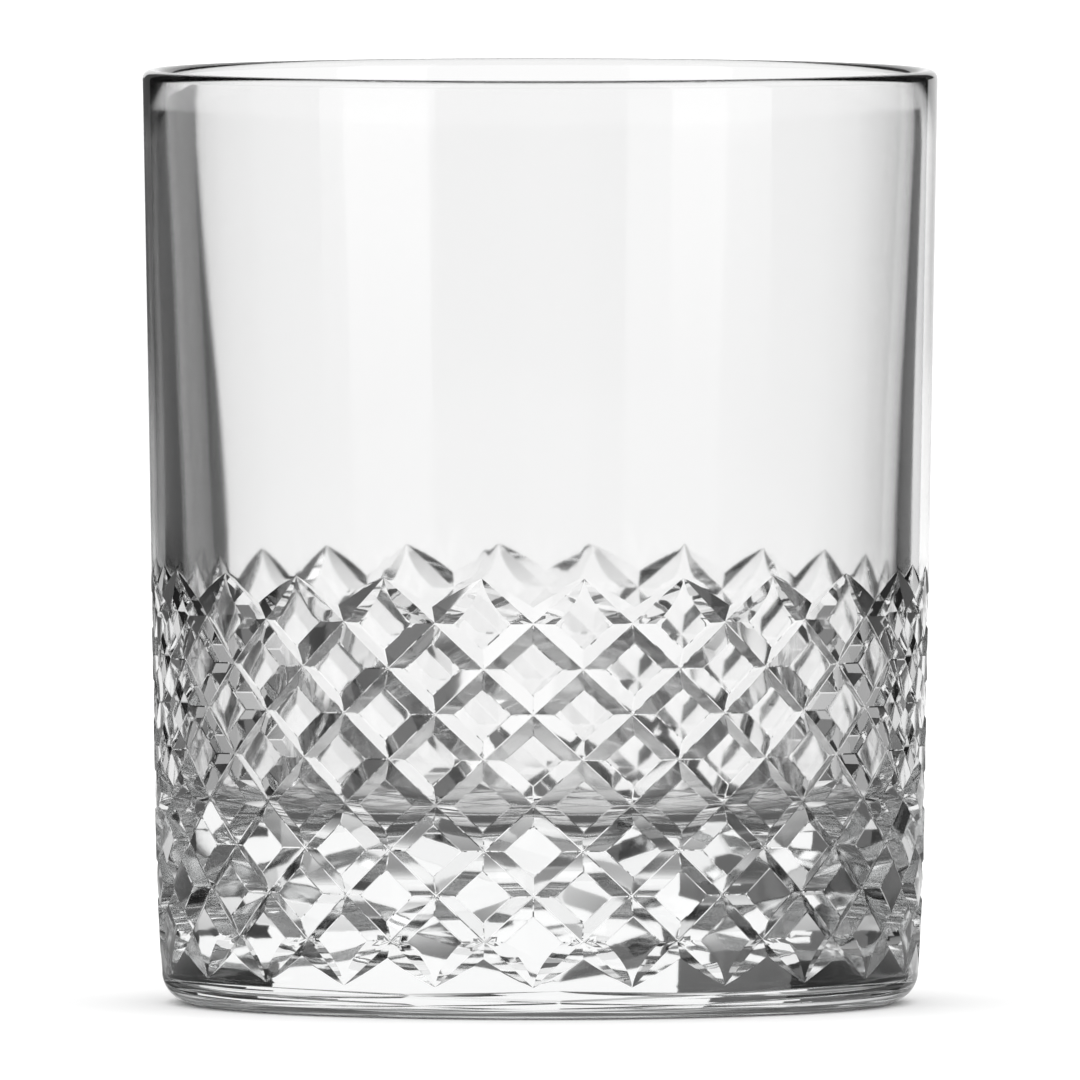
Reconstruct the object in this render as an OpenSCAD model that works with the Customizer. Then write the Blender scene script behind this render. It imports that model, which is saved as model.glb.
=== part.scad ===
// Whiskey tumbler: one piece of clear pressed glass with a heavy base and a
// band of crossing V-cuts that leave rows of small flat diamonds.
// Millimetres, +Z up. The origin is the centre of the foot, on the table.

/* [Glass] */
// Height from the table to the top of the rim
glass_h = 98.5; // [75:0.5:130]
// Diameter over the outside of the rim
rim_d = 84; // [66:0.5:110]
// Lean of the outer wall from upright, in degrees, narrower at the foot
wall_lean = 1; // [0:0.1:4]

/* [Foot] */
// Radius of the rounded corner between the foot and the side
foot_corner_r = 3.4; // [1.5:0.1:6]
// How far the side draws in towards the foot, besides the lean
foot_draw = 0.6; // [0:0.1:2]
// Height up to which the side draws in
foot_draw_h = 18; // [10:1:30]
// Width of the flat ring that the glass stands on
ring_w = 5; // [2:0.5:12]
// Depth of the shallow hollow under the foot
dish_depth = 1; // [0.4:0.1:3]

/* [Cavity] */
// Glass thickness just below the rim
rim_wall = 2; // [1.2:0.1:4]
// Glass thickness beside the inner floor
floor_wall = 3.8; // [2.5:0.1:6]
// How much of the thickening comes near the rim: 0 is an even taper
wall_bow = 0.7; // [0:0.1:1]
// Solid glass from the table to the inner floor
floor_t = 20; // [8:0.5:30]
// Radius of the corner between the inner wall and the inner floor
floor_corner_r = 4; // [2:0.5:12]

/* [Cut band] */
// Number of diamonds in one turn of the glass
columns = 24; // [16:1:36]
// Half diamonds from the lowest tips to the highest tips
half_rows = 9; // [3:1:13]
// Height of one half diamond
half_row_h = 4.77; // [3:0.05:5.5]
// Height of the lowest tips above the table
band_bottom = 3.4; // [3:0.1:12]
// Depth of a cut where two cuts cross
cut_depth = 1.0; // [0.3:0.05:1.6]
// Half width of a cut, as a share of the width of one diamond
cut_share = 0.22; // [0.15:0.01:0.35]

/* [Hidden] */
turn_fn = 180;
arc_steps = 8;
end_steps = 4;

// Outer radius at height z, before the cuts
function wall_r(z) =
    rim_d / 2 - tan(wall_lean) * (glass_h - z)
    - foot_draw * pow(max(0, 1 - z / foot_draw_h), 2);

// Glass thickness at height z, from rim_wall at the top to floor_wall at the inner floor
function wall_t(z) =
    let (u = (glass_h - z) / (glass_h - floor_t))
    rim_wall + (floor_wall - rim_wall) * u * (1 + wall_bow * (1 - u));

// Points of an arc about c, from angle a to angle b
function arc(c, r, a, b) =
    [for (i = [0:arc_steps]) let (t = a + (b - a) * i / arc_steps) c + r * [cos(t), sin(t)]];

// The foot's flat ring and the hollow inside it
foot_r = wall_r(foot_corner_r) - foot_corner_r;
dish_r = foot_r - ring_w;
dish_sphere_r = (dish_r * dish_r + dish_depth * dish_depth) / (2 * dish_depth);
dish_angle = asin(dish_r / dish_sphere_r);

// The rim is a full round across the wall
rim_r = rim_wall / 2;
rim_z = glass_h - rim_r;
rim_c = [wall_r(rim_z) - rim_r, rim_z];

// The inner floor and its corner
inner_foot_z = floor_t + floor_corner_r;
inner_foot_r = wall_r(inner_foot_z) - wall_t(inner_foot_z);
floor_corner_c = [inner_foot_r - floor_corner_r, inner_foot_z];

// Half of the glass's section, counter-clockwise from the centre of the hollow
section = concat(
    arc([0, dish_depth - dish_sphere_r], dish_sphere_r, 90, 90 - dish_angle),
    arc([foot_r, foot_corner_r], foot_corner_r, -90, 0),
    [for (i = [1:arc_steps])
        let (z = foot_corner_r + (foot_draw_h - foot_corner_r) * i / arc_steps) [wall_r(z), z]],
    arc(rim_c, rim_r, 0, 180),
    [for (i = [1:arc_steps - 1])
        let (z = rim_z + (inner_foot_z - rim_z) * i / arc_steps) [wall_r(z) - wall_t(z), z]],
    arc(floor_corner_c, floor_corner_r, 0, -90),
    [[0, floor_t]]
);

// Sizes of the cut band. A half column is half of one diamond's width.
half_column = 180 / columns;
ring_n = 2 * columns;
band_top = band_bottom + half_rows * half_row_h;
tip_lift = 0.02;
blank_r = rim_d / 2 + 2 * cut_depth + 1;
blank_margin = 1;

// Depth of the cuts' surface at a sideways distance from a cut's centre line,
// in diamond widths. Less than zero is outside the glass: no cut there.
function cut_at(offset, fullness) = cut_depth * (fullness - offset / cut_share);

// A cut runs out between the last crossing, t = 1, and its tip, t = 0
function runout(t) = 2 * t - t * t;

// A point of the blank at half column i and height z, under the glass's surface by depth
function blank_point(i, z, depth) =
    let (r = wall_r(z) - depth, a = half_column * i - 90) [r * cos(a), r * sin(a), z];

// A plain ring of the blank, clear outside the glass
function plain_ring(z) =
    [for (i = [0:ring_n - 1]) blank_point(i, z, wall_r(z) - blank_r)];

// Tips of the cuts alternate with points clear outside the glass
function tip_ring(z, first) =
    [for (i = [0:ring_n - 1])
        blank_point(i, z, i % 2 == first ? -tip_lift : cut_at(0.5, 0))];

// Crossings of two cuts alternate with the middles of the diamonds
function crossing_ring(row) =
    [for (i = [0:ring_n - 1])
        blank_point(i, band_bottom + row * half_row_h,
            (i + row) % 2 == 0 ? cut_depth : cut_at(0.5, 1))];

// One step of the run-out: under each tip the middle of a diamond and, half the
// way t to the next column on both sides, the centre lines of the two cuts
function runout_ring(z, t, first) =
    [for (k = [0:columns - 1]) each [
        blank_point(first + 2 * k, z, cut_at(t / 2, runout(t))),
        blank_point(first + 2 * k + t, z, cut_at(0, runout(t))),
        blank_point(first + 2 * k + 1, z, cut_at((1 - t) / 2, runout(t))),
        blank_point(first + 2 * k + 2 - t, z, cut_at(0, runout(t)))
    ]];

// All rings from the bottom up, each as [kind, first tip column, points]
top_first = half_rows % 2;
rings = concat(
    [["tips", 0, plain_ring(-blank_margin)],
     ["tips", 0, plain_ring(band_bottom - half_row_h / 2)],
     ["tips", 0, tip_ring(band_bottom, 0)]],
    [for (s = [1:end_steps - 1]) let (t = s / end_steps)
        ["runout", 0, runout_ring(band_bottom + t * half_row_h, t, 0)]],
    [for (row = [1:half_rows - 1])
        ["crossings", row == half_rows - 1 ? top_first : 0, crossing_ring(row)]],
    [for (s = [1:end_steps - 1]) let (t = 1 - s / end_steps)
        ["runout", top_first, runout_ring(band_top - t * half_row_h, t, top_first)]],
    [["tips", top_first, tip_ring(band_top, top_first)],
     ["tips", top_first, plain_ring(band_top + half_row_h / 2)],
     ["tips", top_first, plain_ring(glass_h + blank_margin)]]
);

// Rings have one point for each half column, or four for each whole column in
// the run-outs. Step q counts quarters of a turn's columns; this gives the
// point of a ring at step q, so that rings of both kinds can be joined.
function step_index(kind, first, q) =
    let (k = floor(q / 4), part = q % 4)
    kind == "runout" ? q % (4 * columns)
    : kind == "tips" ? (first + 2 * k + [0, 0, 1, 2][part]) % ring_n
    : (first + 2 * k + [0, 1, 1, 1][part]) % ring_n;

function ring_start(n) = n == 0 ? 0 : ring_start(n - 1) + len(rings[n - 1][2]);

points = [for (ring = rings) each ring[2]];
starts = [for (n = [0:len(rings) - 1]) ring_start(n)];

function point_radius(n) = norm([points[n].x, points[n].y]);

// Two triangles for the quad a, b, c, d, folded along its deeper diagonal, so
// that the centre line of every cut is an edge
function folded_quad(a, b, c, d) =
    point_radius(a) + point_radius(c) < point_radius(b) + point_radius(d)
    ? [[a, d, c], [a, c, b]] : [[a, d, b], [b, d, c]];

function has_area(t) = t[0] != t[1] && t[1] != t[2] && t[2] != t[0];

side_faces = [
    for (n = [0:len(rings) - 2], q = [0:4 * columns - 1])
        let (low = rings[n], high = rings[n + 1], first = high[1])
        for (t = folded_quad(
                starts[n] + step_index(low[0], first, q),
                starts[n] + step_index(low[0], first, q + 1),
                starts[n + 1] + step_index(high[0], first, q + 1),
                starts[n + 1] + step_index(high[0], first, q)))
            if (has_area(t)) t
];
bottom_face = [for (i = [0:ring_n - 1]) i];
top_face = [for (i = [ring_n - 1:-1:0]) starts[len(rings) - 1] + i];

// A blank that is the cuts' surface inside the band and clear of the glass elsewhere
module cut_blank() {
    polyhedron(points, concat([bottom_face, top_face], side_faces));
}

// The whole glass: the turned section, trimmed by the cut blank
module tumbler() {
    color("azure", 0.45)
    intersection() {
        rotate_extrude($fn = turn_fn) polygon(section);
        cut_blank();
    }
}

tumbler();
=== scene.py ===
"""Whiskey tumbler of clear pressed glass: its visual model and a small studio.

The glass is one piece. A Geometry Nodes tree turns the glass's section about
its axis, lays the band of crossing cuts on the outside from two small patches,
and joins the two into one closed surface.
"""

import math

import bpy
from bpy.props import (
    FloatProperty,
    FloatVectorProperty,
    IntProperty,
    PointerProperty,
)
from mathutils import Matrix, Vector


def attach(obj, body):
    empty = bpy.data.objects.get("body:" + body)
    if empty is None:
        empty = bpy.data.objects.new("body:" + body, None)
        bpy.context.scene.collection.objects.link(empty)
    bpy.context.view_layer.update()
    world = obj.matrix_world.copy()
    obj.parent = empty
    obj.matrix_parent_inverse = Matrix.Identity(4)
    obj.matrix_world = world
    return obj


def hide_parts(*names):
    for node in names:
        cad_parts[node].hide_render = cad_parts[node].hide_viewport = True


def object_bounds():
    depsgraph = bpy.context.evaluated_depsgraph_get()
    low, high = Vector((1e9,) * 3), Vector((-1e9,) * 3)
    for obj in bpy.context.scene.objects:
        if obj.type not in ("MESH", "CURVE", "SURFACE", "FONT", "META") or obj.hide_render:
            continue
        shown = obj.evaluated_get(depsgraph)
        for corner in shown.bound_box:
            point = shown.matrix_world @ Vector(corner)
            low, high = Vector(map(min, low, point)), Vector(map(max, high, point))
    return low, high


bl_info = {
    "name": "Whiskey Tumbler",
    "version": (1, 0, 0),
    "blender": (4, 5, 0),
    "location": "3D View > Sidebar > Tumbler",
    "description": "Builds a cut-glass whiskey tumbler and its studio",
    "category": "Add Mesh",
}

MM = 0.001
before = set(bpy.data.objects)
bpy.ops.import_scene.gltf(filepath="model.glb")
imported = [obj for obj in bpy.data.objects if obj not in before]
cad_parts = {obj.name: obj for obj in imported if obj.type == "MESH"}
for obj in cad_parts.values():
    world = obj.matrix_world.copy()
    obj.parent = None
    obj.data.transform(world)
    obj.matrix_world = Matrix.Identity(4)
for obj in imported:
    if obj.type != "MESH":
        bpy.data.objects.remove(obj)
CAD_LOW, CAD_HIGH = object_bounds()

# The sheet of cuts has this many steps across half a diamond's width, and a
# cut's half width takes some of them, so that its edges fall on grid lines.
HALF_COLUMN_STEPS = 7
CUT_STEPS = 3
RUNOUT_STEPS = 8
CUT_SHARE = CUT_STEPS / (2 * HALF_COLUMN_STEPS)
MERGE_DISTANCE = 0.01 * MM

# Edges that turn more than this are creases: they shade sharp and get a bevel.
CREASE = math.radians(16)

# Steps along each stretch of the section.
DISH_STEPS = 24
FOOT_CORNER_STEPS = 14
PLAIN_WALL_STEPS = 8
RIM_STEPS = 14
INNER_WALL_STEPS = 36
INNER_CORNER_STEPS = 24
INNER_FLOOR_STEPS = 5


# ---------------------------------------------------------------- properties


class TumblerSizes(bpy.types.PropertyGroup):
    """Sizes of the tumbler, and the finish and tint of its glass."""

    height: FloatProperty(
        name="Height",
        description="From the table to the top of the rim",
        default=CAD_HIGH.z - CAD_LOW.z,
        unit="LENGTH",
    )
    rim_diameter: FloatProperty(
        name="Rim diameter",
        description="Over the outside of the rim",
        default=84 * MM,
        unit="LENGTH",
    )
    wall_lean: FloatProperty(
        name="Wall lean",
        description="Lean of the outer wall from upright",
        default=math.radians(1),
        subtype="ANGLE",
    )
    foot_corner: FloatProperty(
        name="Foot corner",
        description="Radius between the foot and the side",
        default=3.4 * MM,
        unit="LENGTH",
    )
    foot_draw: FloatProperty(
        name="Foot draw",
        description="How far the side draws in towards the foot",
        default=0.6 * MM,
        unit="LENGTH",
    )
    foot_draw_height: FloatProperty(
        name="Foot draw height",
        description="Height up to which the side draws in",
        default=18 * MM,
        unit="LENGTH",
    )
    ring_width: FloatProperty(
        name="Standing ring",
        description="Width of the flat ring that the glass stands on",
        default=5 * MM,
        unit="LENGTH",
    )
    dish_depth: FloatProperty(
        name="Dish depth",
        description="Depth of the hollow under the foot",
        default=1 * MM,
        unit="LENGTH",
    )
    rim_wall: FloatProperty(
        name="Rim thickness",
        description="Glass thickness just below the rim",
        default=2 * MM,
        unit="LENGTH",
    )
    floor_wall: FloatProperty(
        name="Wall at the floor",
        description="Glass thickness beside the inner floor",
        default=3.8 * MM,
        unit="LENGTH",
    )
    wall_bow: FloatProperty(
        name="Wall bow",
        description="How much of the thickening comes near the rim",
        default=0.7,
    )
    floor_thickness: FloatProperty(
        name="Base thickness",
        description="Solid glass from the table to the inner floor",
        default=20 * MM,
        unit="LENGTH",
    )
    floor_corner: FloatProperty(
        name="Inner corner",
        description="Radius between the inner wall and the inner floor",
        default=4 * MM,
        unit="LENGTH",
    )
    columns: IntProperty(
        name="Columns",
        description="Diamonds in one turn of the glass",
        default=24,
        min=12,
    )
    half_rows: IntProperty(
        name="Half rows",
        description="Half diamonds from the lowest tips to the highest",
        default=9,
        min=3,
    )
    half_row_height: FloatProperty(
        name="Half row height",
        description="Height of one half diamond",
        default=4.77 * MM,
        unit="LENGTH",
    )
    cut_depth: FloatProperty(
        name="Cut depth",
        description="Depth of a cut where two cuts cross",
        default=1 * MM,
        unit="LENGTH",
    )
    edge_radius: FloatProperty(
        name="Edge softness",
        description="Width of the fire-polished rounding on the cuts' edges",
        default=0.07 * MM,
        unit="LENGTH",
    )
    polish: FloatProperty(
        name="Polish",
        description="Roughness; more than true polish has, to soften the far wall",
        default=0.04,
        min=0,
        max=1,
    )
    foot_dullness: FloatProperty(
        name="Foot dullness",
        description="Roughness that use adds to the standing ring",
        default=0.15,
        min=0,
        max=1,
    )
    ripple_height: FloatProperty(
        name="Ripple height",
        description="Height of the slow ripple that the mould leaves",
        default=0.06 * MM,
        unit="LENGTH",
    )
    ripple_size: FloatProperty(
        name="Ripple size",
        description="Width of one ripple",
        default=18 * MM,
        unit="LENGTH",
    )
    glass_tint: FloatVectorProperty(
        name="Glass tint",
        description="Colour that the glass takes through its thickness",
        subtype="COLOR",
        size=3,
        default=(0.94, 0.97, 0.97),
    )
    tint_density: FloatProperty(
        name="Tint density",
        description="How fast the tint builds up, per metre",
        default=2.5,
    )

    def band_bottom(self):
        """The lowest tips touch the rounded corner of the foot."""
        return self.foot_corner

    def band_top(self):
        return self.band_bottom() + self.half_rows * self.half_row_height


class StudioSettings(bpy.types.PropertyGroup):
    """Camera and light of the studio."""

    camera_azimuth: FloatProperty(
        name="Camera azimuth",
        description="Direction of the camera round the glass",
        default=math.radians(1),
        subtype="ANGLE",
    )
    camera_distance: FloatProperty(
        name="Camera distance",
        description="From the glass's axis to the camera, along the table",
        default=5.0,
        unit="LENGTH",
    )
    camera_height: FloatProperty(
        name="Camera height",
        description="Height of the camera above the table",
        default=0.245,
        unit="LENGTH",
    )
    aim_height: FloatProperty(
        name="Aim height",
        description="Height on the glass's axis that the camera looks at",
        default=48.8 * MM,
        unit="LENGTH",
    )
    view_width: FloatProperty(
        name="View width",
        description="Width that the camera takes in at the glass",
        default=114 * MM,
        unit="LENGTH",
    )
    backdrop_light: FloatProperty(
        name="Backdrop light",
        description="Strength of the even light all round",
        default=1.7,
    )


# ------------------------------------------------------------ section curves


def outer_radius(sizes, z):
    """Radius of the outside at height z, before the cuts."""
    lean = math.tan(sizes.wall_lean) * (sizes.height - z)
    draw = sizes.foot_draw * max(0.0, 1 - z / sizes.foot_draw_height) ** 2
    return sizes.rim_diameter / 2 - lean - draw


def wall_thickness(sizes, z):
    """Thickness of the wall at height z, from the rim down to the inner floor."""
    down = (sizes.height - z) / (sizes.height - sizes.floor_thickness)
    bowed = down * (1 + sizes.wall_bow * (1 - down))
    return sizes.rim_wall + (sizes.floor_wall - sizes.rim_wall) * bowed


def arc(centre, radius, start, end, steps):
    """Points of an arc in the section, from one angle to another, in degrees."""
    angles = [math.radians(start + (end - start) * i / steps) for i in range(steps + 1)]
    return [(centre[0] + radius * math.cos(a), centre[1] + radius * math.sin(a)) for a in angles]


def underside_section(sizes):
    """From the centre of the underside, out over the foot and up to the lowest tips."""
    foot = outer_radius(sizes, sizes.foot_corner) - sizes.foot_corner
    dish = foot - sizes.ring_width
    sphere = (dish**2 + sizes.dish_depth**2) / (2 * sizes.dish_depth)
    spread = math.degrees(math.asin(dish / sphere))
    points = arc((0, sizes.dish_depth - sphere), sphere, 90, 90 - spread, DISH_STEPS)
    points += [(foot - sizes.ring_width / 2, 0)]
    return points + arc((foot, sizes.foot_corner), sizes.foot_corner, -90, 0, FOOT_CORNER_STEPS)


def upper_section(sizes):
    """From the highest tips up the outside, over the rim and down to the inner floor."""
    rim = sizes.rim_wall / 2
    rim_z = sizes.height - rim
    band_top = sizes.band_top()
    heights = [
        band_top + (rim_z - band_top) * i / PLAIN_WALL_STEPS for i in range(PLAIN_WALL_STEPS)
    ]
    points = [(outer_radius(sizes, z), z) for z in heights]
    points += arc((outer_radius(sizes, rim_z) - rim, rim_z), rim, 0, 180, RIM_STEPS)

    corner = sizes.floor_corner
    corner_z = sizes.floor_thickness + corner
    drops = [
        rim_z + (corner_z - rim_z) * i / INNER_WALL_STEPS for i in range(1, INNER_WALL_STEPS)
    ]
    points += [(outer_radius(sizes, z) - wall_thickness(sizes, z), z) for z in drops]
    inner = outer_radius(sizes, corner_z) - wall_thickness(sizes, corner_z)
    points += arc((inner - corner, corner_z), corner, 0, -90, INNER_CORNER_STEPS)
    flat = [
        (inner - corner) * (1 - i / INNER_FLOOR_STEPS) for i in range(1, INNER_FLOOR_STEPS + 1)
    ]
    return points + [(r, sizes.floor_thickness) for r in flat]


def polyline(name, points):
    """A mesh of loose edges along section points, for the tree to turn."""
    mesh = bpy.data.meshes.new(name)
    vertices = [(r, 0, z) for r, z in points]
    mesh.from_pydata(vertices, [(i, i + 1) for i in range(len(vertices) - 1)], [])
    item = bpy.data.objects.new(name, mesh)
    bpy.context.scene.collection.objects.link(item)
    return item


# ------------------------------------------------------------- node building


class Tree:
    """A node tree under construction, with short ways to add and link nodes."""

    def __init__(self, name, kind):
        self.group = bpy.data.node_groups.new(name, kind)
        self.nodes = self.group.nodes
        self.links = self.group.links

    def socket(self, name, kind, into="INPUT"):
        self.group.interface.new_socket(name=name, in_out=into, socket_type=kind)

    def node(self, kind, settings=None, **inputs):
        """Adds a node. Inputs are given by name, spaces as underscores, or as n0, n1..."""
        made = self.nodes.new(kind)
        for key, value in (settings or {}).items():
            setattr(made, key, value)
        for key, value in inputs.items():
            if key[0] == "n" and key[1:].isdigit():
                socket = made.inputs[int(key[1:])]
            else:
                socket = made.inputs[key.replace("_", " ")]
            self.feed(socket, value)
        return made

    def feed(self, socket, value):
        if isinstance(value, bpy.types.Node):
            value = value.outputs[0]
        if isinstance(value, bpy.types.NodeSocket):
            self.links.new(value, socket)
        else:
            socket.default_value = value

    def math(self, operation, a, b=0.0, clamp=False):
        settings = {"operation": operation, "use_clamp": clamp}
        return self.node("ShaderNodeMath", settings, n0=a, n1=b).outputs[0]

    def add(self, a, b):
        return self.math("ADD", a, b)

    def subtract(self, a, b):
        return self.math("SUBTRACT", a, b)

    def multiply(self, a, b):
        return self.math("MULTIPLY", a, b)

    def divide(self, a, b):
        return self.math("DIVIDE", a, b)

    def smaller(self, a, b):
        return self.math("MINIMUM", a, b)

    def larger(self, a, b):
        return self.math("MAXIMUM", a, b)

    def vector(self, x=0.0, y=0.0, z=0.0):
        return self.node("ShaderNodeCombineXYZ", n0=x, n1=y, n2=z).outputs[0]

    def position(self):
        """The x, y and z of the point being worked on."""
        place = self.node("GeometryNodeInputPosition")
        return self.node("ShaderNodeSeparateXYZ", n0=place).outputs

    def place(self, geometry, position):
        return self.node("GeometryNodeSetPosition", Geometry=geometry, Position=position)

    def join(self, *parts):
        made = self.nodes.new("GeometryNodeJoinGeometry")
        for part in reversed(parts):
            self.feed(made.inputs[0], part)
        return made

    def moved(self, geometry, translation=(0, 0, 0), scale=(1, 1, 1)):
        return self.node(
            "GeometryNodeTransform", Geometry=geometry, Translation=translation, Scale=scale
        )

    def mirrored(self, geometry, scale, translation):
        """A mirror image, with its faces turned back to the front."""
        return self.node("GeometryNodeFlipFaces", n0=self.moved(geometry, translation, scale))


def triangle_grid(tree, width, height, columns, rows):
    """A flat grid from the origin, each square split from its low left corner."""
    grid = tree.node(
        "GeometryNodeMeshGrid",
        Size_X=width,
        Size_Y=height,
        Vertices_X=columns + 1,
        Vertices_Y=rows + 1,
    )
    split = tree.node("GeometryNodeTriangulate", {"quad_method": "FIXED"}, Mesh=grid)
    return tree.moved(split, (width / 2, height / 2, 0))


def facing_pair(tree, half):
    """A patch half a diamond wide beside its mirror image."""
    return tree.join(half, tree.mirrored(half, (-1, 1, 1), (1, 0, 0)))


def crossing_patch(tree):
    """One half row between two crossings, flat: x in diamonds, y in half rows."""
    half = triangle_grid(tree, 0.5, 1, HALF_COLUMN_STEPS, HALF_COLUMN_STEPS)
    return facing_pair(tree, half)


def runout_patch(tree):
    """The last half row, where cuts run out to a tip at each lower corner.

    The grid's columns fan out from the tip: along the diamond's flat edge, the
    cut's centre line and its outer edge, which ends where two cuts meet.
    """
    spans = (HALF_COLUMN_STEPS - CUT_STEPS, CUT_STEPS, CUT_STEPS, HALF_COLUMN_STEPS)
    starts = [sum(spans[:i]) for i in range(len(spans))]
    grid = triangle_grid(tree, sum(spans), 1, sum(spans), RUNOUT_STEPS)
    x, y, _ = tree.position()

    # the outer edges of neighbouring cuts meet at this height, which takes a row
    reach = 0.5 + 2 * CUT_SHARE
    meet = (reach - math.sqrt(reach**2 - 2 * CUT_SHARE)) / (2 * CUT_SHARE)
    meet_row = round(RUNOUT_STEPS * meet) / RUNOUT_STEPS
    low = tree.multiply(tree.smaller(y, meet_row), meet / meet_row)
    high = tree.multiply(tree.larger(tree.subtract(y, meet_row), 0), (1 - meet) / (1 - meet_row))
    t = tree.add(low, high)

    half_width = tree.multiply(fullness(tree, t), CUT_SHARE)
    centre = tree.multiply(t, 0.5)
    lines = [
        0,
        tree.larger(tree.subtract(centre, half_width), 0),
        centre,
        tree.smaller(tree.add(centre, half_width), 0.5),
        0.5,
    ]
    # each span of the grid stretches from one line to the next
    across = 0
    for i, (start, span) in enumerate(zip(starts, spans)):
        share = tree.math("DIVIDE", tree.subtract(x, start), span, clamp=True)
        across = tree.add(across, tree.multiply(share, tree.subtract(lines[i + 1], lines[i])))
    return facing_pair(tree, tree.place(grid, tree.vector(across, t)))


def fullness(tree, t):
    """How full a cut is between its tip, t = 0, and the last crossing, t = 1."""
    return tree.multiply(t, tree.subtract(2, t))


def lay_patches(tree, patch, columns, rows, start):
    """Copies of a patch over a block of the sheet; odd rows shift half a diamond."""
    index = tree.node("GeometryNodeInputIndex")
    row = tree.math("FLOOR", tree.divide(tree.add(index, 0.5), columns))
    column = tree.subtract(index, tree.multiply(row, columns))
    y = tree.add(row, start)
    shift = tree.multiply(tree.math("FLOORED_MODULO", y, 2), 0.5)
    count = tree.multiply(rows, columns)
    corner = tree.vector(tree.add(column, shift), y)
    points = tree.node("GeometryNodePoints", Count=count, Position=corner)
    copies = tree.node("GeometryNodeInstanceOnPoints", Points=points, Instance=patch)
    return tree.node("GeometryNodeRealizeInstances", Geometry=copies)


def turned_section(tree, section, columns):
    """Turns a section polyline into a closed shell of revolution."""
    count = tree.node("GeometryNodeAttributeDomainSize", Geometry=section).outputs[0]
    steps = tree.multiply(columns, 2 * HALF_COLUMN_STEPS)
    grid = tree.node(
        "GeometryNodeMeshGrid",
        Size_X=1.0,
        Size_Y=1.0,
        Vertices_X=tree.add(steps, 1),
        Vertices_Y=count,
    )
    index = tree.node("GeometryNodeInputIndex")
    step = tree.math("FLOOR", tree.divide(tree.add(index, 0.5), count))
    along = tree.subtract(index, tree.multiply(step, count))
    place = tree.node("GeometryNodeInputPosition")
    point = tree.node(
        "GeometryNodeSampleIndex",
        {"data_type": "FLOAT_VECTOR"},
        Geometry=section,
        Value=place,
        Index=along,
    )
    radius, _, z = tree.node("ShaderNodeSeparateXYZ", n0=point).outputs
    turn = tree.multiply(tree.divide(step, steps), math.tau)
    return tree.place(grid, on_circle(tree, radius, turn, z))


def on_circle(tree, radius, turn, z):
    """A point at a radius and height, at an angle from the front of the glass."""
    angle = tree.subtract(turn, math.pi / 2)
    x = tree.multiply(radius, tree.math("COSINE", angle))
    y = tree.multiply(radius, tree.math("SINE", angle))
    return tree.vector(x, y, z)


def wrapped_cuts(tree, sheet, size):
    """Wraps the flat sheet round the glass and sinks it to the cuts' depth."""
    x, y, _ = tree.position()
    half_y = tree.multiply(y, 0.5)
    rising = tree.math("PINGPONG", tree.subtract(x, half_y), 0.5)
    falling = tree.math("PINGPONG", tree.add(x, half_y), 0.5)
    offset = tree.smaller(rising, falling)

    to_end = tree.smaller(y, tree.subtract(size["Half Rows"], y))
    full = fullness(tree, tree.smaller(to_end, 1))
    share = tree.subtract(full, tree.divide(offset, CUT_SHARE))
    depth = tree.multiply(size["Cut Depth"], tree.larger(share, 0))

    z = tree.add(size["Band Bottom"], tree.multiply(y, size["Half Row Height"]))
    lean = tree.multiply(size["Lean Slope"], tree.subtract(size["Height"], z))
    low = tree.larger(tree.subtract(1, tree.divide(z, size["Foot Draw Height"])), 0)
    draw = tree.multiply(size["Foot Draw"], tree.multiply(low, low))
    plain = tree.subtract(tree.subtract(size["Rim Radius"], lean), draw)
    turn = tree.multiply(tree.divide(x, size["Columns"]), math.tau)
    return tree.place(sheet, on_circle(tree, tree.subtract(plain, depth), turn, z))


TREE_SIZES = {
    "Columns": "NodeSocketInt",
    "Half Rows": "NodeSocketInt",
    "Half Row Height": "NodeSocketFloat",
    "Band Bottom": "NodeSocketFloat",
    "Cut Depth": "NodeSocketFloat",
    "Height": "NodeSocketFloat",
    "Rim Radius": "NodeSocketFloat",
    "Lean Slope": "NodeSocketFloat",
    "Foot Draw": "NodeSocketFloat",
    "Foot Draw Height": "NodeSocketFloat",
}


def bevel_marks(tree, glass, angle, size):
    """Marks the cuts' edges, clear of the run-outs, for the bevel that follows."""
    z = tree.position()[2]
    row = tree.divide(tree.subtract(z, size["Band Bottom"]), size["Half Row Height"])
    above = tree.math("GREATER_THAN", row, 1)
    below = tree.math("LESS_THAN", row, tree.subtract(size["Half Rows"], 1))
    creased = tree.math("GREATER_THAN", angle, CREASE)
    mark = tree.multiply(creased, tree.multiply(above, below))
    return tree.node(
        "GeometryNodeStoreNamedAttribute",
        {"data_type": "FLOAT", "domain": "EDGE"},
        Geometry=glass,
        Name="bevel_weight_edge",
        Value=mark,
    )


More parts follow.
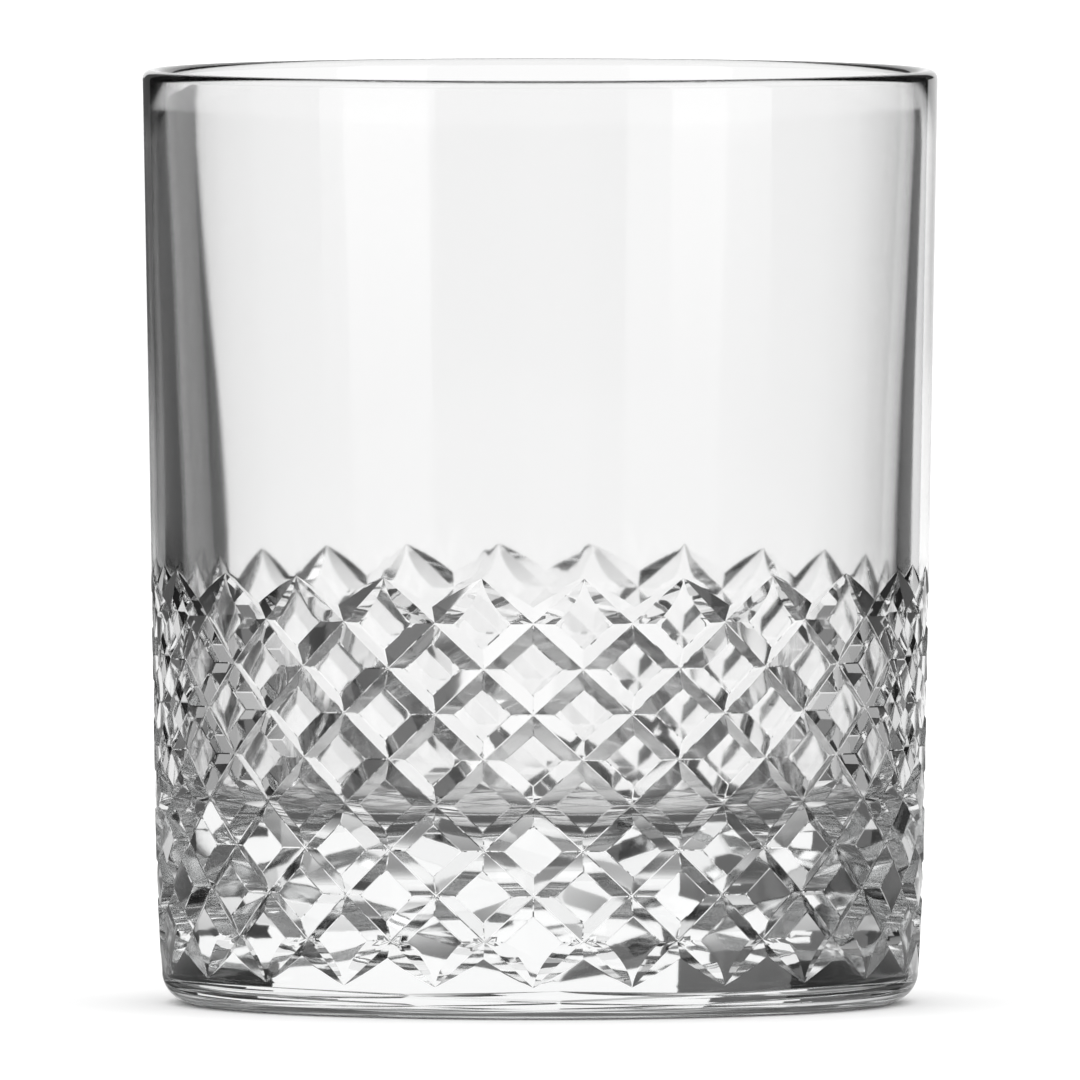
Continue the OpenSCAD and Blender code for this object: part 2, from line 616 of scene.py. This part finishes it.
def cut_glass_tree():
    """The Geometry Nodes tree that makes the whole glass from its section."""
    tree = Tree("Cut Glass Tumbler", "GeometryNodeTree")
    tree.group.is_modifier = True
    tree.socket("Underside", "NodeSocketGeometry")
    for name, kind in TREE_SIZES.items():
        tree.socket(name, kind)
    tree.socket("Upper Section", "NodeSocketObject")
    tree.socket("Glass", "NodeSocketMaterial")
    tree.socket("Geometry", "NodeSocketGeometry", "OUTPUT")
    size = tree.nodes.new("NodeGroupInput").outputs

    upper = tree.node("GeometryNodeObjectInfo", Object=size["Upper Section"]).outputs["Geometry"]
    columns = size["Columns"]
    crossings = tree.subtract(size["Half Rows"], 2)
    runout = runout_patch(tree)
    low_runout = lay_patches(tree, runout, columns, 1, 0)
    top_row = tree.subtract(size["Half Rows"], 1)
    top_patch = tree.mirrored(runout, (1, -1, 1), (0.5, 1, 0))
    sheet = tree.join(
        low_runout,
        lay_patches(tree, crossing_patch(tree), columns, crossings, 1),
        lay_patches(tree, top_patch, columns, 1, top_row),
    )
    shell = tree.join(
        turned_section(tree, size["Underside"], columns),
        wrapped_cuts(tree, sheet, size),
        turned_section(tree, upper, columns),
    )
    closed = tree.node("GeometryNodeMergeByDistance", Geometry=shell, Distance=MERGE_DISTANCE)
    smooth = tree.node("GeometryNodeSetShadeSmooth", Geometry=closed, Shade_Smooth=True)
    angle = tree.node("GeometryNodeInputMeshEdgeAngle").outputs[0]
    blunt = tree.node("FunctionNodeCompare", {"operation": "LESS_THAN"}, A=angle, B=CREASE)
    edged = tree.node(
        "GeometryNodeSetShadeSmooth", {"domain": "EDGE"}, Geometry=smooth, Shade_Smooth=blunt
    )
    marked = bevel_marks(tree, edged, angle, size)
    solid = tree.node("GeometryNodeRealizeInstances", Geometry=marked)
    painted = tree.node("GeometryNodeSetMaterial", Geometry=solid, Material=size["Glass"])
    output = tree.nodes.new("NodeGroupOutput")
    tree.feed(output.inputs[0], painted)
    return tree.group


# ----------------------------------------------------------------- materials


GLASS_IOR = 1.52
# How far up from the table the standing ring is worn.
WORN_HEIGHT = 0.3 * MM
# Noise scales, per metre: fine scuffs on the ring, and slow changes in the polish.
SCUFF_SCALE = 900.0
CLOUD_SCALE = 70.0
# The ripple is drawn out along the glass's height by this share.
RIPPLE_STRETCH = 0.45


def glass_finish_group():
    """Roughness and normal of pressed glass: ripple, polish and the worn ring."""
    tree = Tree("Pressed glass finish", "ShaderNodeTree")
    for name in ("Polish", "Foot Dullness", "Worn Height", "Ripple Height", "Ripple Size"):
        tree.socket(name, "NodeSocketFloat")
    tree.socket("Roughness", "NodeSocketFloat", "OUTPUT")
    tree.socket("Normal", "NodeSocketVector", "OUTPUT")
    given = tree.nodes.new("NodeGroupInput").outputs
    place = tree.node("ShaderNodeTexCoord").outputs["Object"]
    x, y, z = tree.node("ShaderNodeSeparateXYZ", n0=place).outputs

    # the standing ring, dulled by the table
    foot = tree.node(
        "ShaderNodeMapRange",
        {"interpolation_type": "SMOOTHSTEP"},
        Value=z,
        From_Min=given["Worn Height"],
        From_Max=0.0,
    ).outputs[0]
    scuffs = tree.node(
        "ShaderNodeTexNoise", Vector=place, Scale=SCUFF_SCALE, Detail=4.0
    ).outputs[0]
    dull = tree.multiply(tree.multiply(foot, given["Foot Dullness"]), tree.add(scuffs, 0.5))

    # the polish varies a little over a few centimetres
    cloud = tree.node(
        "ShaderNodeTexNoise", Vector=place, Scale=CLOUD_SCALE, Detail=2.0
    ).outputs[0]
    polish = tree.multiply(given["Polish"], tree.add(cloud, 0.5))
    roughness = tree.add(polish, dull)

    # slow ripple that the mould leaves, drawn out along the glass's height
    drawn = tree.vector(x, y, tree.multiply(z, RIPPLE_STRETCH))
    ripple = tree.node(
        "ShaderNodeTexNoise", Vector=drawn, Scale=tree.divide(1, given["Ripple Size"]), Detail=1.0
    ).outputs[0]
    bump = tree.node(
        "ShaderNodeBump", Strength=1.0, Distance=given["Ripple Height"], Height=ripple
    ).outputs[0]
    output = tree.nodes.new("NodeGroupOutput")
    tree.feed(output.inputs[0], roughness)
    tree.feed(output.inputs[1], bump)
    return tree.group


def clear_glass(sizes):
    """Fire-polished pressed glass with a faint tint and a worn standing ring."""
    material = bpy.data.materials.new("clear_glass")
    material.use_nodes = True
    nodes, links = material.node_tree.nodes, material.node_tree.links
    shader = nodes["Principled BSDF"]
    shader.inputs["Base Color"].default_value = (1, 1, 1, 1)
    shader.inputs["Metallic"].default_value = 0
    shader.inputs["IOR"].default_value = GLASS_IOR
    shader.inputs["Transmission Weight"].default_value = 1

    finish = nodes.new("ShaderNodeGroup")
    finish.node_tree = glass_finish_group()
    finish.inputs["Polish"].default_value = sizes.polish
    finish.inputs["Foot Dullness"].default_value = sizes.foot_dullness
    finish.inputs["Worn Height"].default_value = WORN_HEIGHT
    finish.inputs["Ripple Height"].default_value = sizes.ripple_height
    finish.inputs["Ripple Size"].default_value = sizes.ripple_size
    links.new(finish.outputs["Roughness"], shader.inputs["Roughness"])
    links.new(finish.outputs["Normal"], shader.inputs["Normal"])

    tint = nodes.new("ShaderNodeVolumeAbsorption")
    tint.inputs["Color"].default_value = (*sizes.glass_tint, 1)
    tint.inputs["Density"].default_value = sizes.tint_density
    links.new(tint.outputs[0], nodes["Material Output"].inputs["Volume"])
    return material


# ----------------------------------------------------------------- operators


def modifier_input(modifier, name, value):
    """Sets a tree's input on its modifier by the socket's identifier."""
    for item in modifier.node_group.interface.items_tree:
        if item.item_type == "SOCKET" and item.in_out == "INPUT" and item.name == name:
            modifier[item.identifier] = value
            return
    raise RuntimeError(f"the tree has no input named {name}")


def as_plain_mesh(item, name):
    """The object's evaluated mesh as a new object with no modifiers."""
    evaluated = item.evaluated_get(bpy.context.evaluated_depsgraph_get())
    mesh = bpy.data.meshes.new_from_object(evaluated)
    mesh.name = name
    made = bpy.data.objects.new(name, mesh)
    bpy.context.scene.collection.objects.link(made)
    return made


class TUMBLER_OT_glass(bpy.types.Operator):
    """Build the glass: turned section, cut band, edges and material"""

    bl_idname = "tumbler.glass"
    bl_label = "Glass"

    def execute(self, context):
        sizes = context.scene.tumbler_sizes
        blank = polyline("underside_section", underside_section(sizes))
        upper = polyline("upper_section", upper_section(sizes))
        modifier = blank.modifiers.new("Cut glass", "NODES")
        modifier.node_group = cut_glass_tree()
        values = {
            "Columns": sizes.columns,
            "Half Rows": sizes.half_rows,
            "Half Row Height": sizes.half_row_height,
            "Band Bottom": sizes.band_bottom(),
            "Cut Depth": sizes.cut_depth,
            "Height": sizes.height,
            "Rim Radius": sizes.rim_diameter / 2,
            "Lean Slope": math.tan(sizes.wall_lean),
            "Foot Draw": sizes.foot_draw,
            "Foot Draw Height": sizes.foot_draw_height,
            "Upper Section": upper,
            "Glass": clear_glass(sizes),
        }
        for name, value in values.items():
            modifier_input(modifier, name, value)
        polish = blank.modifiers.new("Fire polish", "BEVEL")
        polish.limit_method = "WEIGHT"
        polish.width = sizes.edge_radius
        polish.segments = 1
        polish.use_clamp_overlap = True
        glass = as_plain_mesh(blank, "tumbler_glass")
        if not glass.data.polygons:
            raise RuntimeError("the glass came out empty")
        for item in (blank, upper):
            bpy.data.objects.remove(item)
        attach(glass, "root")
        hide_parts("tumbler")
        return {"FINISHED"}


STUDIO_HEIGHT = 0.6
RING_RADIUS = 0.48
PANEL_STEP_DEGREES = 3
ROOM_BRIGHTNESS = 0.17
CEILING_BRIGHTNESS = 0.1

# The studio's panels stand in a ring about the glass. Each has a name, its two
# ends in degrees to the right of straight behind the glass as the camera looks,
# its lower and upper height in metres, and its brightness. One that starts
# above the table hangs a little way in front of the others. They are placed for
# the camera's own view, so from the sides and back the glass looks greyer.
PANELS = (
    ("backdrop", -17, 31, 0.0, STUDIO_HEIGHT, 1.02),
    ("flag_backdrop_left", -17.5, -13, 0.008, 0.1, 0.12),
    ("flag_backdrop_right", 21, 31, 0.12, STUDIO_HEIGHT, 0.06),
    ("flag_left_near", -28, -17, 0.0, STUDIO_HEIGHT, 0.12),
    ("flag_left_dark", -70, -28, 0.0, STUDIO_HEIGHT, 0.01),
    ("flag_left_side", -100, -70, 0.0, STUDIO_HEIGHT, 0.15),
    ("flag_right_dark", 31, 72, 0.0, STUDIO_HEIGHT, 0.01),
    ("flag_right_side", 72, 100, 0.0, STUDIO_HEIGHT, 0.2),
    ("room_front", 100, 260, 0.0, STUDIO_HEIGHT, ROOM_BRIGHTNESS),
    ("softbox_left", -151, -116, 0.03, 0.5, 1.15),
    ("softbox_right", 112, 143, 0.03, 0.5, 1.4),
)

# A hung panel's distance in front of the ring, and the height over which a
# bright one fades in from the room's brightness.
HUNG_INSET = 0.02
SOFTBOX_FADE = 0.06

# The glass sees the table as glossy white, with a painted shade about its own foot
# and a paler painted pool of light where the base gathers the light. Each stop has a
# distance from the glass's axis and the table's painted brightness there.
PAINTED_TABLE_SHADE = (
    (0 * MM, 0.42),
    (15 * MM, 0.42),
    (28 * MM, 0.09),
    (52 * MM, 0.09),
    (88 * MM, 1.0),
)
TABLE_GLOSS_ROUGHNESS = 0.05
TABLE_IOR = 1.5
TABLE_GAP = 0.02 * MM

FLOOR_RADIUS = 12
FLOOR_COLOUR = (0.82, 0.82, 0.82, 1)

# Enough bounces for light to find its way through the walls, base and cuts.
GLASS_BOUNCES = 40
GLOSS_BOUNCES = 12


def glow(name, brightness, fade=None):
    """A glowing surface, seen by the glass and not used as a lamp.

    Its light may fade from full to dim between two heights, as fade says:
    (lower height, its brightness, upper height).
    """
    material = bpy.data.materials.new(name)
    material.use_nodes = True
    nodes, links = material.node_tree.nodes, material.node_tree.links
    nodes.remove(nodes["Principled BSDF"])
    emission = nodes.new("ShaderNodeEmission")
    emission.inputs["Strength"].default_value = brightness
    if fade:
        place = nodes.new("ShaderNodeTexCoord")
        split = nodes.new("ShaderNodeSeparateXYZ")
        ramp = nodes.new("ShaderNodeMapRange")
        links.new(place.outputs["Object"], split.inputs[0])
        links.new(split.outputs["Z"], ramp.inputs["Value"])
        low, dim, high = fade
        ends = {"From Min": low, "From Max": high, "To Min": dim, "To Max": brightness}
        for name_of_end, value in ends.items():
            ramp.inputs[name_of_end].default_value = value
        links.new(ramp.outputs[0], emission.inputs["Strength"])
    links.new(emission.outputs[0], nodes["Material Output"].inputs["Surface"])
    material.cycles.emission_sampling = "NONE"
    return material


def stage_mesh(name, vertices, faces, material):
    """A mesh that belongs to the stage."""
    mesh = bpy.data.meshes.new(name)
    mesh.from_pydata(vertices, [], faces)
    mesh.materials.append(material)
    item = bpy.data.objects.new(name, mesh)
    bpy.context.scene.collection.objects.link(item)
    return item


def stage_disc(name, radius, height, steps, material):
    """A level disc about the glass's axis."""
    turns = [math.tau * i / steps for i in range(steps)]
    rim = [(radius * math.cos(t), radius * math.sin(t), height) for t in turns]
    return stage_mesh(name, rim, [tuple(range(steps))], material)


def studio_panel(name, start, end, low, high, brightness, camera_azimuth):
    """A curved panel of the ring that only glass and gloss can see."""
    steps = max(2, round(abs(end - start) / PANEL_STEP_DEGREES))
    radius = RING_RADIUS - (HUNG_INSET if low > 0 else 0)
    vertices = []
    for i in range(steps + 1):
        angle = math.pi / 2 - math.radians(start + (end - start) * i / steps) + camera_azimuth
        foot = (radius * math.cos(angle), radius * math.sin(angle))
        vertices += [(*foot, low), (*foot, high)]
    faces = [(2 * i, 2 * i + 1, 2 * i + 3, 2 * i + 2) for i in range(steps)]
    softbox = low > 0 and brightness > ROOM_BRIGHTNESS
    fade = (low, ROOM_BRIGHTNESS, low + SOFTBOX_FADE) if softbox else None
    glass_only(stage_mesh(name, vertices, faces, glow(name, brightness, fade)))


def table_for_glass():
    """What glass and gloss see of the table, in place of the floor: a glowing disc with painted
    shade.
    """
    glass_only(stage_disc("table_for_glass", RING_RADIUS, -TABLE_GAP, 96, glossy_table_painted_shade()))


def glossy_table_painted_shade():
    """Glowing white with painted shade about the foot and a painted pool of light at the centre,
    under a clear gloss that mirrors the panels.
    """
    material = glow("glossy_table_painted_shade", 1)
    nodes, links = material.node_tree.nodes, material.node_tree.links
    emission = nodes["Emission"]
    place = nodes.new("ShaderNodeTexCoord")
    radius = nodes.new("ShaderNodeVectorMath")
    radius.operation = "LENGTH"
    share = nodes.new("ShaderNodeMapRange")
    share.inputs["From Max"].default_value = PAINTED_TABLE_SHADE[-1][0]
    # This ramp sets the table's glow: painted shade about the foot and a painted pool of light
    # under the base.
    painted_shade_ramp = nodes.new("ShaderNodeValToRGB")
    painted_shade_ramp.color_ramp.interpolation = "EASE"
    stops = painted_shade_ramp.color_ramp.elements
    while len(stops) < len(PAINTED_TABLE_SHADE):
        stops.new(1)
    for stop, (distance, tone) in zip(stops, PAINTED_TABLE_SHADE):
        stop.position = distance / PAINTED_TABLE_SHADE[-1][0]
        stop.color = (tone, tone, tone, 1)
    gloss = nodes.new("ShaderNodeBsdfGlossy")
    gloss.inputs["Roughness"].default_value = TABLE_GLOSS_ROUGHNESS
    fresnel = nodes.new("ShaderNodeFresnel")
    fresnel.inputs["IOR"].default_value = TABLE_IOR
    mix = nodes.new("ShaderNodeMixShader")
    links.new(place.outputs["Object"], radius.inputs[0])
    links.new(radius.outputs["Value"], share.inputs["Value"])
    links.new(share.outputs[0], painted_shade_ramp.inputs[0])
    links.new(painted_shade_ramp.outputs[0], emission.inputs["Color"])
    links.new(fresnel.outputs[0], mix.inputs[0])
    links.new(emission.outputs[0], mix.inputs[1])
    links.new(gloss.outputs[0], mix.inputs[2])
    links.new(mix.outputs[0], nodes["Material Output"].inputs["Surface"])
    return material


def glass_only(panel):
    """Lets only glass and gloss see a panel."""
    panel.visible_camera = False
    panel.visible_diffuse = False
    panel.visible_shadow = False
    panel.visible_volume_scatter = False


def studio_ceiling():
    """A dim lid on the ring of panels."""
    material = glow("ceiling", CEILING_BRIGHTNESS)
    glass_only(stage_disc("ceiling", RING_RADIUS, STUDIO_HEIGHT, 48, material))


def pale_floor():
    """A wide plain floor."""
    material = bpy.data.materials.new("pale_floor")
    material.use_nodes = True
    shader = material.node_tree.nodes["Principled BSDF"]
    shader.inputs["Base Color"].default_value = FLOOR_COLOUR
    shader.inputs["Roughness"].default_value = 1
    shader.inputs["Specular IOR Level"].default_value = 0
    stage_disc("floor", FLOOR_RADIUS, -2 * TABLE_GAP, 64, material)


def studio_camera(settings):
    """A far camera a little above the glass, square to it."""
    azimuth = settings.camera_azimuth
    away = Vector((math.sin(azimuth), -math.cos(azimuth), 0))
    target = Vector((0, 0, settings.aim_height))
    data = bpy.data.cameras.new("Camera")
    camera = bpy.data.objects.new("Camera", data)
    camera.location = away * settings.camera_distance + Vector((0, 0, settings.camera_height))
    camera.rotation_mode = "QUATERNION"
    camera.rotation_quaternion = (target - camera.location).to_track_quat("-Z", "Y")
    distance = (target - camera.location).length
    data.sensor_width = 36
    data.lens = data.sensor_width * distance / settings.view_width
    data.clip_end = 100
    bpy.context.scene.collection.objects.link(camera)
    bpy.context.scene.camera = camera


class TUMBLER_OT_studio(bpy.types.Operator):
    """Set up the floor, the light and the camera"""

    bl_idname = "tumbler.studio"
    bl_label = "Studio"

    def execute(self, context):
        settings = context.scene.tumbler_studio
        world = bpy.data.worlds.new("Studio light")
        world.use_nodes = True
        background = world.node_tree.nodes["Background"]
        background.inputs["Color"].default_value = (1, 1, 1, 1)
        background.inputs["Strength"].default_value = settings.backdrop_light
        context.scene.world = world
        context.scene.view_settings.view_transform = "Standard"
        context.scene.cycles.max_bounces = GLASS_BOUNCES
        context.scene.cycles.transmission_bounces = GLASS_BOUNCES
        context.scene.cycles.glossy_bounces = GLOSS_BOUNCES
        pale_floor()
        for panel in PANELS:
            studio_panel(*panel, settings.camera_azimuth)
        table_for_glass()
        studio_ceiling()
        studio_camera(settings)
        return {"FINISHED"}


class TUMBLER_PT_panel(bpy.types.Panel):
    """Sidebar panel with the tumbler's sizes and build steps"""

    bl_label = "Tumbler"
    bl_idname = "TUMBLER_PT_panel"
    bl_space_type = "VIEW_3D"
    bl_region_type = "UI"
    bl_category = "Tumbler"

    def draw(self, context):
        for group in (context.scene.tumbler_sizes, context.scene.tumbler_studio):
            box = self.layout.box()
            for name in group.__annotations__:
                box.prop(group, name)
        for operator in (TUMBLER_OT_glass, TUMBLER_OT_studio):
            self.layout.operator(operator.bl_idname)


CLASSES = (
    TumblerSizes,
    StudioSettings,
    TUMBLER_OT_glass,
    TUMBLER_OT_studio,
    TUMBLER_PT_panel,
)


def register():
    for item in CLASSES:
        bpy.utils.register_class(item)
    bpy.types.Scene.tumbler_sizes = PointerProperty(type=TumblerSizes)
    bpy.types.Scene.tumbler_studio = PointerProperty(type=StudioSettings)


def unregister():
    del bpy.types.Scene.tumbler_studio
    del bpy.types.Scene.tumbler_sizes
    for item in reversed(CLASSES):
        bpy.utils.unregister_class(item)


def main():
    register()
    bpy.ops.tumbler.glass()
    bpy.ops.tumbler.studio()


if __name__ == "__main__":
    main()
